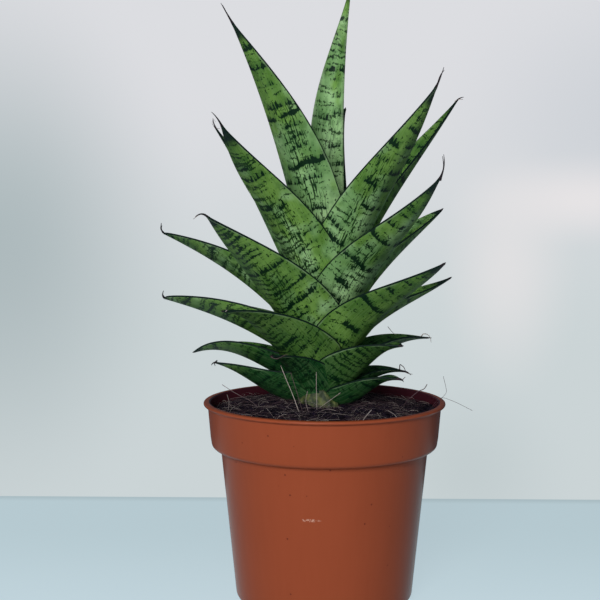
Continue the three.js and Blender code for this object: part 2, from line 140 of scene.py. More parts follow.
# Bold cross bands of the leaves that show, by the leaf's number: how far below the end of the green
# blade, from where to where across it, in millimetres, and how strong. Deeper bands are random.
BANDS = {
    1: [(16, -2, 2, 0.5), (19, -3, 1, 0.4), (24, 1, 4, 0.5), (29, -4, 2, 0.55), (32, -5, -1, 0.65),
        (33, 0, 4, 0.5), (36, 1, 5, 0.6), (41, -7, -3, 0.85), (42, -1, 5, 0.9), (46, -5, 0, 0.45),
        (50, 0, 4, 0.45), (54, -6, -1, 0.45), (62, -9, -3, 0.7), (66, -1, 5, 0.85),
        (69, 0, 6, 0.6), (79, -9, -3, 0.8)],
    2: [(13.5, -4, 5, 1.1), (24, -6, 6, 1.0), (30, -4, 0, 0.4), (33.5, -5, 4, 0.5),
        (43.5, -5, 8, 0.8), (50.5, -13, -1, 1.1), (48, -1, 10, 1.1), (54, 1, 8, 0.8),
        (60, 1, 9, 0.6), (65.5, 1, 8, 0.5), (77, -15, -7, 0.8), (74.5, -8, 14, 1.3),
        (82, -4, 10, 0.6), (85, -14, -6, 0.7), (97.5, -2, 9, 0.9)],
    3: [(25, -8, -2, 0.5), (30, -9, 9, 0.6), (39, -13, 13, 1.1), (53, -16, 8, 1.1),
        (61, -16, 8, 0.5), (70, -18, 8, 0.5)],
    4: [(10, -6, 6, 0.5), (25, -12, 12, 0.8), (45, -15, 15, 0.7)],
    5: [(16, -4, 1, 0.45), (23.5, -2, 7, 1.0), (32.5, -7, -3, 1.15), (32.5, 1, 9, 0.85),
        (40.5, -10, -4, 0.5), (48, 0, 9, 1.0), (55, -9, -2, 1.0), (57.5, -1, 9, 0.8),
        (68, -4, 3, 1.15), (70, 4, 10, 0.8), (80, -17, -9, 1.0), (87.5, -14, -5, 1.05),
        (97, -10, -4, 0.9)],
    7: [(21.5, -3, 4, 0.5), (26.5, -4, 3, 0.85), (33.5, -7, 7, 0.8), (37, -7, 6, 0.6),
        (40.5, -5, 5, 0.5), (52.5, -8, 3, 1.1), (51.5, 3, 9, 0.9), (57.5, -12, 4, 0.5),
        (60.5, -12, -2, 0.5), (64, -12, -3, 0.5), (67.5, -12, -3, 0.55), (71, -12, -2, 0.5),
        (70.5, 4, 14, 0.6), (69.5, 4, 8, 0.9), (77, 2, 14, 0.5), (80, -8, -2, 0.5),
        (90, 3, 10, 0.9)],
    8: [(12, -6, 6, 0.5), (20, -12, 12, 0.6), (31, -14, 14, 0.6), (45, -16, 16, 0.5)],
    9: [(7.5, 0, 7, 0.9), (15, 3, 9, 0.5), (22.5, 1, 12, 0.5), (33, 0, 20, 1.2),
        (41, 2, 16, 0.5), (46, 2, 16, 0.4), (50.5, 1, 18, 0.7)],
    10: [(17, 1, 7, 0.9), (20, -6, -1, 0.5), (23, -8, -3, 0.5), (31.5, -9, 2, 0.8),
         (35.5, 2, 9, 0.7), (42, -12, 2, 1.1), (46, 2, 10, 0.95), (48, -12, -5, 0.4),
         (60.5, -16, 2, 1.0), (66, -10, -2, 0.4), (75.5, -12, -2, 1.2), (77, -2, 5, 0.8)],
    12: [(13.5, 0, 4, 0.6), (19.5, -7, 7, 0.8), (25, -2, 7, 0.8), (29, -2, 9, 0.9),
         (32.5, -4, 9, 1.2), (38, -6, 2, 0.5), (43, -9, 15, 0.95), (48, -10, 4, 0.6),
         (52, 4, 14, 0.6), (56.5, -7, 20, 1.0), (61, -10, 0, 0.5), (66.5, -8, 20, 0.95),
         (70, 5, 9, 0.6)],
    13: [(14, -8, 8, 0.6), (22, -10, 10, 0.6), (30, -12, 12, 0.7), (38, -12, 12, 0.7)],
    14: [(15.5, 0, 14, 1.1), (25, 1, 14, 0.5), (31, 1, 18, 1.1), (40, 1, 16, 0.6),
         (50, 2, 18, 0.8)],
    15: [(13, -3, 2, 0.6), (20, -7, -2, 0.7), (29.5, -11, -4, 1.1), (31.5, -4, 2, 0.7),
         (36, -10, -4, 0.5), (44.8, -17, 0, 1.25), (52, 1, 12, 0.8), (64.5, -11, -3, 1.2)],
    17: [(9, -3, 3, 0.5), (13, -4, 4, 0.6), (17, -5, 4, 0.5), (20.5, -6, 6, 0.65),
         (24.5, -3, 9, 0.55), (28, -7, 4, 0.5), (31, -4, 11, 0.7), (36, -8, 8, 0.5),
         (40.5, -8, 8, 0.5), (45.5, -8, 11, 1.05), (50, 0, 16, 0.5)],
    18: [(10, -5, 5, 0.6), (18, -9, 9, 0.7), (26, -12, 12, 0.6)],
    19: [(14, 1, 9, 0.9), (21, 2, 14, 0.5), (30, -12, 14, 0.6), (36, -17, 17, 0.8),
         (45, -18, 18, 0.8)],
    20: [(12, -9, -3, 0.45), (18.5, -13, -4, 0.8), (21.5, -15, -5, 0.7), (25, -15, -3, 0.8),
         (28, -14, -4, 0.6), (31, -12, -3, 0.7), (42, -12, -5, 0.9)],
    22: [(9, -6, 6, 0.5), (15, -8, 9, 0.7), (19, -8, 11, 0.65), (24, -8, 12, 0.6)],
    24: [(14, -8, 8, 0.6), (22, -15, 16, 0.9), (30, -15, 16, 0.7), (36, -15, 16, 0.7)],
}

# Lengthwise dark streaks: from and to below the green end, from and to across, and how strong.
STREAKS = {
    1: (55, 95, -8, 8, 0.55),
    2: (38, 110, -1, 8, 1.0),
    5: (34, 100, -8, -2, 1.0),
    7: (40, 95, 1, 8, 1.0),
    9: (15, 60, 6, 16, 0.6),
    10: (42, 86, -10, -2, 1.0),
    12: (31, 66, 3, 9, 0.8),
}

# How plainly the fine cross ripples show on a leaf, by its number. The others have DIM_RIPPLES.
RIPPLES = {2: 0.35, 5: 0.4, 7: 0.9, 9: 0.7, 10: 0.45, 12: 0.9, 14: 0.7, 15: 0.5, 17: 1.0, 20: 0.9,
           22: 1.0, 24: 0.8}
DIM_RIPPLES = 0.5

# How far tipward the cross bands rise for each millimetre across, on a leaf of each rank, and on
# leaves that differ from their rank, by number.
BAND_RISE = {"front_left": 0.28, "front_right": -0.3, "left": -0.3, "right": 0.0, "back": 0.0,
             2: 0.14, 10: -0.36, 12: 0.36, 14: -0.5, 17: 0.5, 19: -0.2, 22: 0.4}

# ---- small helpers


def mix(a, b, t):
    return a + (b - a) * t


def smooth(x):
    t = np.clip(x, 0, 1)
    return t * t * (3 - 2 * t)


def unit(rows):
    return rows / np.linalg.norm(rows, axis=-1, keepdims=True)


def rough(x, y, z=0.0):
    """Smooth noise between about -1 and 1."""
    return noise.noise(Vector((x, y, z)))


def linear(*screen):
    """A screen colour, 0 to 255, as a shader's colour."""
    shares = [c / 255 for c in screen]
    return (*(c / 12.92 if c <= 0.04045 else ((c + 0.055) / 1.055) ** 2.4 for c in shares), 1.0)


def make_object(name, data):
    """A new object in the scene that shows the data."""
    thing = bpy.data.objects.new(name, data)
    bpy.context.scene.collection.objects.link(thing)
    return thing


def make_mesh(name, points, faces, material, attributes=None):
    """A smooth mesh object from points in millimetres. attributes are numbers at its points."""
    mesh = bpy.data.meshes.new(name)
    mesh.from_pydata((np.asarray(points) * MM).tolist(), [], faces)
    mesh.polygons.foreach_set("use_smooth", [True] * len(mesh.polygons))
    for key, values in (attributes or {}).items():
        layer = mesh.attributes.new(key, "FLOAT", "POINT")
        layer.data.foreach_set("value", np.asarray(values, np.float32))
    mesh.materials.append(material)
    mesh.update()
    return make_object(name, mesh)


def dress(piece, slot, *nodes):
    """The piece moves with the plant and stands for these solids. slot is not used."""
    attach(piece, "root")
    if nodes:
        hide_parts(*nodes)


def ring_faces(rings, count):
    """Quads from each closed ring of count points to the next ring."""
    faces = []
    for a in range(0, (rings - 1) * count, count):
        for j in range(count):
            k = (j + 1) % count
            faces.append((a + j, a + k, a + count + k, a + count + j))
    return faces


def join(points, faces, more, quads):
    """Adds more points, and the faces between them, to lists of points and faces."""
    faces += [tuple(len(points) + k for k in quad) for quad in quads]
    points += more


# ---- materials

# The leaves' screen colours, 0 to 255. The first two are each a dim and a bright one.
YELLOW_GREEN = ((86, 129, 53), (116, 160, 73))
SAGE = ((114, 159, 99), (154, 196, 139))
PALEST_GREEN = (190, 218, 168)
# The deep green is painted shade, for leaves whose tone is below zero.
PAINTED_SHADE_GREEN = (11, 62, 29)
THREAD_GREEN = (150, 188, 128)
MOTTLE_GREEN = (44, 92, 38)
HALO_GREEN = (30, 78, 40)
MARK_GREEN = (8, 42, 16)
DASH_GREEN = (8, 42, 18)
BAND_GREEN = (3, 32, 17)
TIP_GREEN = (4, 25, 25)
# The pale edge colour is a painted highlight, a line inside the margin in places.
EDGE_HIGHLIGHT_GREEN = (150, 178, 140)
MARGIN_GREEN = (10, 30, 24)
DRY_GREY = (36, 30, 34)

# The leaves' marks, in millimetres, and the numbers that a blade's points carry for them.
TOOTH_LENGTH = 2.6
BAND_LINE_WIDTH = 0.55
RIPPLES_PER_MM = 0.28
RIPPLE_SHARPNESS = 4.3 / 1.35
LEAF_FIELDS = "along across edge tip bands past run ripples streaks seed tone rimmed dry".split()

# The pot's screen colours, and its scuff: place across and up, and half sizes.
TERRACOTTA = ((150, 73, 46), (158, 78, 50))
POT_STREAK = (130, 62, 36)
POT_SPECK = (84, 32, 26)
POT_SCUFF = (220, 178, 160)
# The dark colour of the pot's inner face is painted shade.
POT_INSIDE_SHADE = (48, 15, 34)
SCUFF_PLACE = (-6.5, 50.6)
SCUFF_SIZE = (6.0, 0.9)


class Value:
    """A number, vector or colour that a material works out. Numbers take sums and products."""

    def __init__(self, look, socket):
        self.look = look
        self.socket = socket

    def __add__(self, other):
        return self.look.math("ADD", self, other)

    def __sub__(self, other):
        return self.look.math("SUBTRACT", self, other)

    def __mul__(self, other):
        return self.look.math("MULTIPLY", self, other)

    def __truediv__(self, other):
        return self.look.math("DIVIDE", self, other)


class Look:
    """One procedural material and short ways to add nodes to it."""

    def __init__(self, name, **shader):
        self.material = bpy.data.materials.new(name)
        self.material.use_nodes = True
        self.nodes = self.material.node_tree.nodes
        self.shader = self.nodes["Principled BSDF"]
        for key, value in shader.items():
            self.put(self.shader.inputs[key.replace("_", " ")], value)

    def put(self, socket, value):
        if isinstance(value, Value):
            self.material.node_tree.links.new(value.socket, socket)
        else:
            socket.default_value = value

    def paint(self, colour, socket="Base Color"):
        self.put(self.shader.inputs[socket], colour)

    def node(self, kind, inputs=None, out=0, **settings):
        """What a new node gives at that output."""
        made = self.nodes.new("ShaderNode" + kind)
        for key, value in settings.items():
            setattr(made, key, value)
        for key, value in (inputs or {}).items():
            self.put(made.inputs[key], value)
        return Value(self, made.outputs[out])

    def attribute(self, name):
        return self.node("Attribute", out="Fac", attribute_name=name)

    def math(self, operation, *values, clamp=False):
        return self.node("Math", dict(enumerate(values)), operation=operation, use_clamp=clamp)

    def around(self, value, reach):
        """A value from 0 to 1, spread from -reach to reach."""
        return self.math("MULTIPLY_ADD", value, 2 * reach, -reach)

    def step(self, value, low, high):
        """0 below low, 1 above high and smooth between. High may be the lower of the two."""
        inputs = {0: value, 1: low, 2: high, 3: 0.0, 4: 1.0}
        return self.node("MapRange", inputs, interpolation_type="SMOOTHSTEP")

    def place(self, x, y, z=0.0):
        return self.node("CombineXYZ", {0: x, 1: y, 2: z})

    def parts(self, where):
        """The place's x, y and z."""
        return [self.node("SeparateXYZ", {0: where}, out=axis) for axis in range(3)]

    def length(self, x, y):
        return self.node("VectorMath", {0: self.place(x, y)}, out="Value", operation="LENGTH")

    def grain(self, vector, scale, detail, roughness=0.5):
        inputs = {"Vector": vector, "Scale": scale, "Detail": detail, "Roughness": roughness}
        return self.node("TexNoise", inputs, out="Fac")

    def blend(self, share, first, second):
        """The first colour under a share of the second. A tuple is a screen colour."""
        first, second = (linear(*c) if isinstance(c, tuple) else c for c in (first, second))
        return self.node("Mix", {"Factor": share, 6: first, 7: second}, out=2, data_type="RGBA")

    def lay(self, colour, *layers):
        """The colour under layers, each a share and a colour."""
        for share, layer in layers:
            colour = self.blend(share, colour, layer)
        return colour

    def relief(self, height, distance, strength=1.0):
        inputs = {"Height": height, "Distance": distance * MM, "Strength": strength}
        self.paint(self.node("Bump", inputs), "Normal")

    def millimetres(self):
        """Place on the object, in millimetres."""
        where = self.node("TexCoord", out="Object")
        return self.node("VectorMath", {0: where, 3: 1 / MM}, operation="SCALE")


class LeafLook(Look):
    """The leaves' material. Its noise is laid out on the unrolled blade, in millimetres."""

    def __init__(self, **shader):
        super().__init__("leaf_skin", **shader)
        for name in LEAF_FIELDS:
            setattr(self, name, self.attribute(name))
        self.comb = self.sway(0.85, 6.0, 0.8)
        self.speck = self.sway(1.4, 2.4, 0.5)

    def field(self, across_pitch, along_pitch, detail=2.0):
        """Noise whose grains are about that long across and along the blade."""
        where = self.place(self.across / across_pitch, self.along / along_pitch, self.seed)
        return self.grain(where, 1.0, detail)

    def sway(self, across_pitch, along_pitch, reach, detail=2.0):
        """Such noise from -reach to reach."""
        return self.around(self.field(across_pitch, along_pitch, detail), reach)

    def band_strength(self):
        """How strong a bold band is here: it ends at once rootward and slowly tipward."""
        off = self.past + self.sway(1.3, 6.0, 0.9)
        away = self.math("MAXIMUM", off * (-1 / TOOTH_LENGTH), off * (1 / BAND_LINE_WIDTH))
        return self.bands * self.math("EXPONENT", away * -1.0)

    def bold_bands(self, strength):
        """Fine jagged lines with teeth on their tipward side."""
        bold = self.step(strength + (self.comb * 1.35 + self.speck * 0.3), 0.47, 0.57)
        return bold * self.step(self.bands, 0.03, 0.12)

    def fine_ripples(self):
        """The nearest of unevenly spaced lines across the blade, along the bands' run."""
        wobble = self.sway(12, 25, 4.0) + self.sway(2.2, 8, 1.5) + self.sway(0.55, 5, 0.9)
        at = (self.run + wobble) * RIPPLES_PER_MM + self.seed * 17.0
        lines = self.node("TexVoronoi", {"W": at, "Scale": 1.0}, out="Distance",
                          voronoi_dimensions="1D")
        near = self.math("MULTIPLY_ADD", lines, -RIPPLE_SHARPNESS, 1.0, clamp=True)
        crowd = self.step(self.field(10, 13, 1.0), 0.38, 0.62)
        fine = near * (crowd * 0.42 + 0.46) + self.around(self.ripples, 0.2)
        fine = self.step(fine + (self.comb * 0.7 + self.speck), 0.45, 0.55)
        shown = self.field(2.5, 2.0) + self.around(self.ripples, 0.16)
        return fine * self.step(shown, 0.38, 0.5)

    def spots(self):
        """Scattered dark spots, thickest where the streaks are."""
        return self.step(self.field(1.0, 1.7, 1.0) + self.streaks * 0.05, 0.66, 0.71)

    def dashes(self):
        """Lengthwise dashes, where the streaks are."""
        dash = self.field(0.65, 8.0, 1.0) + self.sway(2.0, 2.4, 0.5) * 0.22
        return self.step(dash, 0.55, 0.61) * self.streaks

    def ground(self, strength):
        """Yellow-green to sage in broad zones, with fine lengthwise threads and soft mottling;
        paler where the tone is above 1, and darker with painted shade where it is below 0.
        """
        zone = self.step(self.field(14, 22, 1.0), 0.35, 0.65)
        yellow, sage = (self.blend(zone, *pair) for pair in (YELLOW_GREEN, SAGE))
        patch = self.tone + self.sway(8, 13, 1.3, 1.0)
        return self.lay(
            self.blend(self.step(patch, 0.1, 0.9), yellow, sage),
            (self.step(self.tone, 1.0, 2.0), PALEST_GREEN),
            # A tone below zero darkens the green with painted shade, for leaves low down or behind
            # others.
            (self.step(self.tone, 0.0, -1.2), PAINTED_SHADE_GREEN),
            (self.step(self.field(0.5, 18, 3.0), 0.38, 0.66) * 0.16, THREAD_GREEN),
            (self.step(self.field(3.0, 4.0), 0.45, 0.7) * 0.35, MOTTLE_GREEN),
            (self.step(strength, 0.0, 0.5) * 0.4, HALO_GREEN),
        )

    def ends(self, colour):
        """The colour under the dark tip, a painted highlight along the edge, the margin's dark line
        and the dry end.
        """
        edge = self.edge + self.sway(2, 9, 0.2)
        lit = self.step(self.field(6, 26, 1.0), 0.48, 0.6)
        return self.lay(
            colour,
            (self.step(self.tip + self.sway(3, 4, 3.0), 9.0, 4.0) * 0.96, TIP_GREEN),
            # A painted highlight: a pale line inside the margin, where the edge catches light.
            (self.step(edge, 1.35, 0.85) * lit * 0.4, EDGE_HIGHLIGHT_GREEN),
            (self.step(edge, 0.66, 0.42) * self.rimmed, MARGIN_GREEN),
            (self.step(self.dry, 0.45, 0.55), DRY_GREY),
        )


def leaf_look():
    look = LeafLook(Roughness=0.5, Specular_IOR_Level=0.13)
    strength = look.band_strength()
    bold = look.bold_bands(strength)
    marked = look.lay(
        look.ground(strength),
        (look.fine_ripples() * 0.9, MARK_GREEN),
        (look.spots() * 0.85, MARK_GREEN),
        (look.dashes() * 0.95, DASH_GREEN),
        (bold * 0.97, BAND_GREEN),
    )
    look.paint(look.ends(marked))
    look.relief(look.field(0.7, 40, 3.0) * 0.7 - bold * 0.1, 0.12, 0.8)
    return look.material


def pot_scuff(look, where, x, y, z):
    """How much of the pale scuff on the front of the pot shows."""
    (middle, height), (wide, tall) = SCUFF_PLACE, SCUFF_SIZE
    out = look.length((x - middle) / wide, (z - height) / tall)
    oval = look.step(out, 1.0, 0.5) * look.step(y, 0.0, -10.0)
    return oval * look.step(look.grain(where, 1.1, 2.0), 0.48, 0.6)


def painted_inside_shade(look, x, y, z):
    """1 on the inner face of the band, which is darkened there as painted shade inside the pot, and
    0 elsewhere.
    """
    lean = (BAND_TOP_RADIUS - BAND_FOOT_RADIUS) / BAND_HEIGHT
    outer = z * lean + (BAND_FOOT_RADIUS - lean * STEP_HEIGHT)
    return look.step(outer - look.length(x, y), 0.5, 0.9) * look.step(z, 78.0, 82.0)


def pot_look():
    look = Look("pot_plastic_skin", Roughness=0.27, Specular_IOR_Level=0.1)
    where = look.millimetres()
    x, y, z = look.parts(where)
    dots = look.node("TexVoronoi", {"Vector": where, "Scale": 0.11}, out="Distance")
    look.paint(look.lay(
        look.blend(look.grain(where, 0.03, 2.0), *TERRACOTTA),
        (look.grain(look.place(x, y, z * 0.04), 0.35, 2.0) * 0.25, POT_STREAK),
        (look.step(dots, 0.065, 0.035) * 0.7, POT_SPECK),
        (pot_scuff(look, where, x, y, z) * 0.6, POT_SCUFF),
        # The inner face of the band is darkened with painted shade.
        (painted_inside_shade(look, x, y, z) * 0.92, POT_INSIDE_SHADE),
    ))
    look.relief(look.grain(where, 0.9, 3.0), 0.02, 0.6)
    return look.material


def soil_look():
    look = Look("soil_skin", Roughness=0.95, Specular_IOR_Level=0.06)
    where = look.millimetres()
    patch = look.step(look.grain(where, 0.5, 4.0), 0.4, 0.7)
    look.paint(look.blend(patch, (9, 7, 20), (38, 31, 54)))
    look.relief(look.grain(where, 1.1, 5.0, 0.7), 1.2)
    return look.material


def fibre_look():
    look = Look("fibre_skin", Roughness=0.8, Specular_IOR_Level=0.3)
    hue = look.attribute("hue")
    colour = look.blend(look.step(hue, 0.0, 0.45), (18, 12, 24), (88, 66, 74))
    look.paint(look.blend(look.step(hue, 0.45, 1.0), colour, (188, 178, 172)))
    return look.material


def stem_look():
    look = Look("stem_skin", Roughness=0.6)
    where = look.millimetres()
    patch = look.step(look.grain(where, 0.35, 3.0), 0.4, 0.65)
    look.paint(look.blend(patch, (36, 50, 26), (90, 100, 52)))
    look.relief(look.grain(where, 1.0, 3.0), 0.3)
    return look.material


# ---- leaves

ROW_PITCH = 1.1
COLUMNS = 25
RIM_STEPS = 3
AWN_ROWS = 14
AWN_JOIN_HALF = 0.7
AWN_END_HALF = 0.12
CREASE = 0.45
CREASE_WIDTH = 0.1

# How far a band reaches along the blade, how far it waves, over what length a band and a streak
# fade out at their sides, and the streaks of the leaves that have none of their own.
BAND_REACH = 4.0
BAND_WAVE = 2.0
BAND_END = 1.6
STREAK_END = 2.5
OTHER_STREAKS = (35, 200, -5, 5, 0.5)

UP = np.array([0.0, 0.0, 1.0])


def strides(path):
    return np.linalg.norm(np.diff(path, axis=0), axis=1)


def leafy_share(z):
    return np.clip((z - LOWEST_ROOT) / (HIGHEST_ROOT - LOWEST_ROOT), 0, 1)


def root_radius(z):
    return mix(ROOT_RADIUS, TIP_ROOT_RADIUS, leafy_share(z) ** 2)


def root_height(number):
    down = number / (len(LEAVES) - 1)
    return LOWEST_ROOT + (HIGHEST_ROOT - LOWEST_ROOT) * (1 - down) ** ROOT_CROWDING


def bezier(a, b, c, d, u):
    v = 1 - u
    return v**3 * a + 3 * v * v * u * b + 3 * v * u * u * c + u**3 * d


def azimuth_at(leaf, u):
    return np.radians(leaf["azimuth"] + leaf["sweep"] * u * u)


def keel_at(leaf, u):
    """The blade's keel, from the root at u = 0 to the end of the green blade at u = 1."""
    z0 = root_height(leaf["number"])
    r0 = root_radius(z0)
    arm = KEEL_ARM * math.hypot(leaf["reach"] - r0, leaf["tip"] - z0)
    a0, a1 = (math.radians(a) for a in leaf["rise"])
    r = bezier(r0, r0 + arm * math.cos(a0), leaf["reach"] - arm * math.cos(a1), leaf["reach"], u)
    z = bezier(z0, z0 + arm * math.sin(a0), leaf["tip"] - arm * math.sin(a1), leaf["tip"], u)
    azimuth = azimuth_at(leaf, u)
    return np.stack([r * np.cos(azimuth), r * np.sin(azimuth), z], axis=-1)


def half_width(leaf, u):
    taper = np.sin(math.pi / 2 * np.clip((1 - u) / TAPER_SHARE, 0, 1)) ** leaf["taper"]
    half = leaf["width"] / 2 * taper * mix(BASE_WIDTH, 1, smooth(u / (1 - TAPER_SHARE)))
    return np.hypot(half, AWN_JOIN_HALF)


def blade_sections(leaf):
    """The blade's and awn's sections, root to end, as arrays with a row for each section."""
    rows = int(strides(keel_at(leaf, np.linspace(0, 1, 200))).sum() / ROW_PITCH)
    u = np.linspace(0, 1, rows + 1)
    step = 1e-3
    ahead = keel_at(leaf, np.minimum(u + step, 1))
    behind = keel_at(leaf, np.maximum(u - step, 0))
    tangent = unit(ahead - behind)
    grip = smooth(u / CLASP_SHARE)[:, None]
    axis = unit(UP + (tangent - UP) * grip)
    azimuth = azimuth_at(leaf, u)
    side = np.stack([-np.sin(azimuth), np.cos(azimuth), 0 * azimuth], axis=-1)
    side = unit(side - axis * (side * axis).sum(1, keepdims=True))
    inward = -np.cross(side, axis)
    roll = math.radians(leaf["roll"]) * smooth(u / CLASP_SHARE)[:, None]
    side, inward = (side * np.cos(roll) + inward * np.sin(roll),
                    inward * np.cos(roll) - side * np.sin(roll))
    half = half_width(leaf, u)
    fold0, fold1 = leaf["fold"]
    fold = np.where(u < 0.5, mix(ROOT_FOLD, fold0, u * 2), mix(fold0, fold1, u * 2 - 1))
    thickness = np.maximum(BLADE_THICKNESS * (1 - THINNING * u), MARGIN_THICKNESS)
    rim = np.full_like(u, MARGIN_THICKNESS / 2)
    keel = keel_at(leaf, u)
    along = np.concatenate([[0], np.cumsum(strides(keel))])
    s = dict(keel=keel, side=side, inward=inward, half=half, fold=np.radians(fold),
             thickness=thickness, rim=rim, along=along, u=u)
    return add_awn(leaf, s, tangent[-1])


def add_awn(leaf, s, tangent):
    """Carries the sections on into the dry awn, a fine curved point."""
    awn = max(leaf["awn"], 1.2)
    share = np.arange(1, AWN_ROWS + 1) / AWN_ROWS
    end = np.radians(leaf["curl"] * share)
    middle = np.radians(leaf["curl"] * (share - 0.5 / AWN_ROWS))
    stride = awn / AWN_ROWS
    inward, side = s["inward"][-1], s["side"][-1]
    steps = stride * (np.cos(middle)[:, None] * tangent + np.sin(middle)[:, None] * inward)
    half = mix(AWN_JOIN_HALF, AWN_END_HALF, share**0.6)
    more = dict(
        keel=s["keel"][-1] + np.cumsum(steps, axis=0),
        side=np.repeat(side[None], AWN_ROWS, 0),
        inward=np.cos(end)[:, None] * inward - np.sin(end)[:, None] * tangent,
        half=half,
        fold=np.full(AWN_ROWS, s["fold"][-1]),
        thickness=np.minimum(s["thickness"][-1], 2 * half),
        rim=np.minimum(s["rim"][-1], half * 0.7),
        along=s["along"][-1] + stride * np.arange(1, AWN_ROWS + 1),
        u=np.ones(AWN_ROWS),
    )
    return {key: np.concatenate([s[key], more[key]]) for key in s}


def bent(fold, half, across):
    """Where points across the folded blade lie: to the side, inward, and the slope there.

    The blade bends evenly but for its keel, which is creased.
    """
    grid = np.linspace(-1.15, 1.15, 231)
    turn = mix(grid, 0.5 * np.tanh(grid / CREASE_WIDTH), CREASE)
    slope = (fold / 2)[:, None] * turn
    step = grid[1] - grid[0]
    middle = len(grid) // 2

    def travel(rate):
        total = np.cumsum((rate[:, 1:] + rate[:, :-1]) / 2 * step, axis=1)
        total = np.concatenate([np.zeros((len(rate), 1)), total], axis=1)
        return total - total[:, middle:middle + 1]

    side, inward = travel(np.cos(slope)), travel(np.sin(slope))
    share = across / half[:, None]
    pick = [[np.interp(at, grid, row) for at, row in zip(share, rows)]
            for rows in (side, inward, slope)]
    sideways, inwards, slopes = (np.array(rows) for rows in pick)
    return sideways * half[:, None], inwards * half[:, None], slopes


def section_loop(s):
    """Each section's closed outline, unrolled: across the blade and out of its middle surface."""
    v = np.linspace(-1, 1, COLUMNS)
    half = (s["half"] - s["rim"])[:, None]
    rim = s["rim"][:, None]
    bulge = (1 - v * v) ** 0.8
    thick = np.maximum(mix(rim, s["thickness"][:, None] / 2, bulge), rim)
    turn = np.radians(np.linspace(0, 180, RIM_STEPS + 2)[1:-1])
    right = half + rim * np.sin(turn), rim * np.cos(turn)
    left = -half - rim * np.sin(turn), -rim * np.cos(turn)
    across = np.concatenate([half * v, right[0], half * v[::-1], left[0]], axis=1)
    out = np.concatenate([thick, right[1], -thick[:, ::-1], left[1]], axis=1)
    return across, out


def loop_faces(rows, count):
    """Faces of a blade with that many rows of count points, with caps of strips at both ends."""
    faces = ring_faces(rows, count)
    span = 2 * COLUMNS + RIM_STEPS - 1
    for row, forward in ((0, False), (rows - 1, True)):
        base = row * count
        caps = [(j, j + 1, span - j - 1, span - j) for j in range(COLUMNS - 1)]
        caps.append(tuple(range(COLUMNS - 1, COLUMNS + RIM_STEPS + 1)))
        caps.append((*range(span, count), 0))
        for cap in caps:
            at = tuple(base + k for k in cap)
            faces.append(at if forward else at[::-1])
    return faces


def marks_of(leaf, length):
    """The leaf's listed bands and, below them, random ones."""
    marks = list(BANDS.get(leaf["number"] + 1, ()))
    draw = random.Random(leaf["number"] + 40)
    place = max([mark[0] for mark in marks], default=2) + draw.uniform(7, 13)
    while place < length - 6:
        reach = leaf["width"] * draw.uniform(0.25, 0.5)
        middle = draw.uniform(-0.2, 0.2) * leaf["width"]
        marks.append((place, middle - reach, middle + reach, draw.uniform(0.45, 1.0)))
        place += draw.uniform(7, 15)
    return marks


def band_fields(leaf, below, across, length):
    """Each point's strongest band: how strong it is, how far rootward of it the point lies, and
    the point's place along the bands' run."""
    rise = BAND_RISE.get(leaf["number"] + 1, BAND_RISE[leaf["rank"]])
    run = below + rise * across
    seed = leaf["number"] * 5.3
    wave = np.array([rough(a * 0.12, b * 0.04, seed) for a, b in zip(across, below)])
    best = np.zeros_like(below)
    second = np.full_like(below, 2 * BAND_REACH)
    strength = np.zeros_like(below)
    past = np.full_like(below, 2 * BAND_REACH)
    for place, low, high, weight in marks_of(leaf, length):
        offset = run + BAND_WAVE * wave - (place + rise * (low + high) / 2)
        outside = np.maximum(np.maximum(low - across, across - high), 0)
        cover = weight * np.clip(1 - outside / BAND_END, 0, 1)
        claim = cover * np.clip(1 - np.abs(offset) / BAND_REACH, 0, 1)
        won = claim > best
        nearer = np.where(cover > 0, np.minimum(second, np.abs(offset)), second)
        second = np.where(won, np.abs(past), nearer)
        strength = np.where(won, cover, strength)
        past = np.where(won, offset, past)
        best = np.where(won, claim, best)
    # Where the nearest band changes from one row of points to the next, neither shows.
    apart = np.clip((second - np.abs(past)) / ROW_PITCH - 1, 0, 1)
    strength *= np.clip((BAND_REACH - np.abs(past)) / ROW_PITCH, 0, 1) * apart
    return strength, np.clip(past, -BAND_REACH, BAND_REACH), run


def streak_field(leaf, below, across):
    """How strongly lengthwise streaks mark each point, from 0 to 1."""
    start, end, low, high, weight = STREAKS.get(leaf["number"] + 1, OTHER_STREAKS)
    lengthwise = smooth((below - start) / 10) * smooth((end - below) / 10)
    outside = np.maximum(np.maximum(low - across, across - high), 0)
    return weight * lengthwise * np.clip(1 - outside / STREAK_END, 0, 1)


